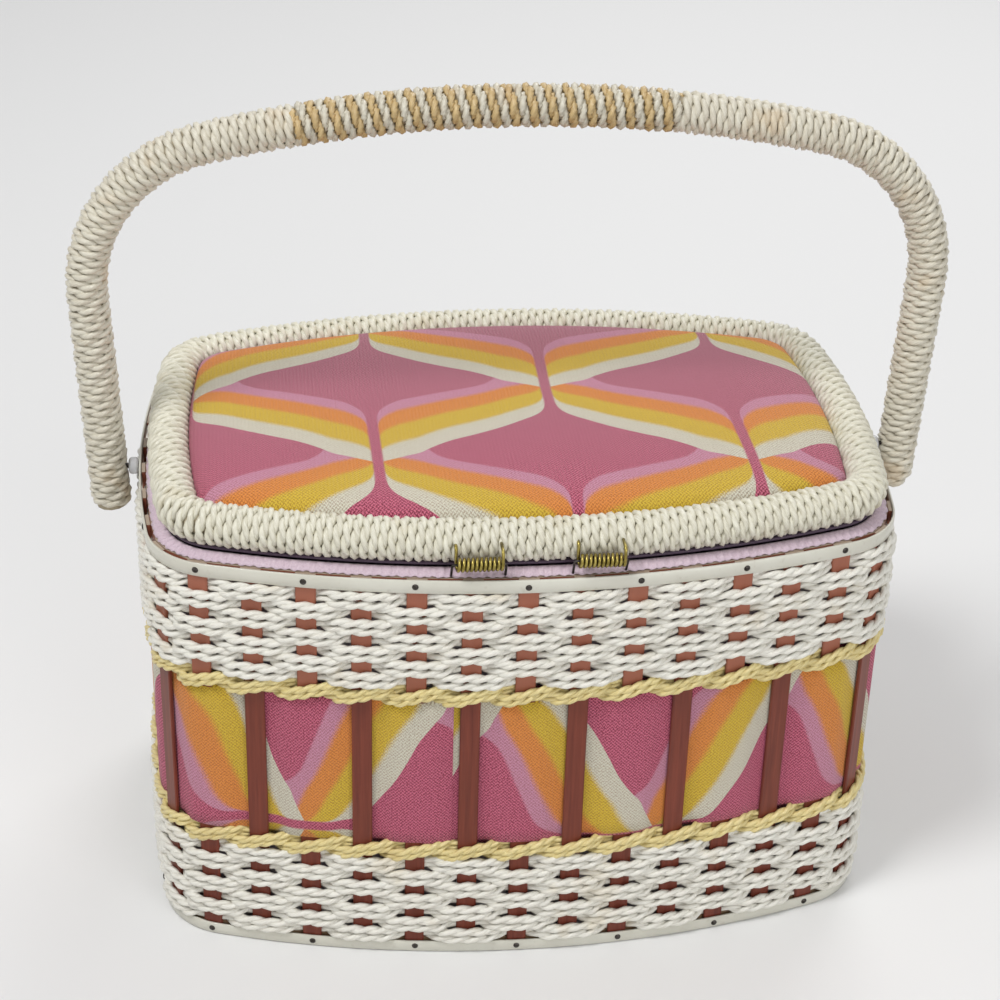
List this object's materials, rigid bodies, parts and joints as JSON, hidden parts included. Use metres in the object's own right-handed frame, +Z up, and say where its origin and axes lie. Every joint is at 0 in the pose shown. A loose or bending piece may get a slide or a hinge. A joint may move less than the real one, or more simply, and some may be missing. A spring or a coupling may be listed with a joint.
{
  "type": "sewing basket",
  "caption": "Woven sewing basket with a cloth band, a padded cloth lid on two spring hinges and a cord-wound handle that swings on side pins.",
  "frame": {"origin": "middle of the underside, on the surface that the basket stands on", "axes": "+X along the length, +Y away from the hinge side, +Z up; the handle's pivots lie along X"},
  "size_m": [0.3456, 0.2096, 0.331],
  "materials": {
    "base_board": "matte",
    "binding": "satin",
    "band_cloth": "matte printed cotton",
    "lining_trim": "matte gathered cloth",
    "lining": "matte cloth",
    "hoop_wood": "matte stained",
    "stave_wood": "satin stained",
    "white_cord": "twisted cord",
    "yellow_cord": "twisted cord",
    "rim_cord": "twisted cord, wound",
    "handle_cord": "twisted cord, wound",
    "tan_cord": "twisted cord, wound",
    "lid_board": "matte",
    "lid_cloth": "matte printed cotton",
    "lid_lining": "matte cloth",
    "spring_brass": "bright wire",
    "staple_steel": "dark wire",
    "pin_steel": "dark",
    "bead": "translucent white"
  },
  "bodies": {
    "basket": {"base_board": "base_board", "bottom_binding": "binding", "cloth_band": "band_cloth", "hinge_staple_left": "staple_steel", "hinge_staple_right": "staple_steel", "lining_ruffle": "lining_trim", "lining_tub": "lining", "lower_white_weaver_a": "white_cord", "lower_white_weaver_b": "white_cord", "lower_yellow_twine_a": "yellow_cord", "lower_yellow_twine_b": "yellow_cord", "outer_stave_01": "stave_wood", "outer_stave_02": "stave_wood", "outer_stave_03": "stave_wood", "outer_stave_04": "stave_wood", "outer_stave_05": "stave_wood", "outer_stave_06": "stave_wood", "outer_stave_07": "stave_wood", "outer_stave_08": "stave_wood", "outer_stave_09": "stave_wood", "outer_stave_10": "stave_wood", "outer_stave_11": "stave_wood", "outer_stave_12": "stave_wood", "outer_stave_13": "stave_wood", "outer_stave_14": "stave_wood", "outer_stave_15": "stave_wood", "outer_stave_16": "stave_wood", "outer_stave_17": "stave_wood", "outer_stave_18": "stave_wood", "outer_stave_19": "stave_wood", "outer_stave_20": "stave_wood", "outer_stave_21": "stave_wood", "pivot_pin_left": "pin_steel", "pivot_pin_right": "pin_steel", "rim_hoop_with_nailed_staves": "hoop_wood", "spacer_bead_left": "bead", "spacer_bead_right": "bead", "top_binding": "binding", "upper_white_weaver_a": "white_cord", "upper_white_weaver_b": "white_cord", "upper_yellow_twine_a": "yellow_cord", "upper_yellow_twine_b": "yellow_cord"},
    "lid": {"lid_rim": "rim_cord", "lid_board": "lid_board", "lid_pad": "lid_cloth", "lid_lining": "lid_lining", "hinge_spring_left": "spring_brass", "hinge_spring_right": "spring_brass"},
    "handle": {"handle_core": "handle_cord", "handle_tan_winding": "tan_cord", "handle_cream_winding": "handle_cord"}
  },
  "joints": [
    {"name": "lid_hinge", "type": "hinge", "parent": "basket", "child": "lid", "pos_m": [0, -0.1008, 0.184], "axis": [1, 0, 0], "range_deg": [0, 40]},
    {"name": "handle_swing", "type": "hinge", "parent": "basket", "child": "handle", "pos_m": [0, 0, 0.1739], "axis": [1, 0, 0], "range_deg": [-125, 125]}
  ]
}
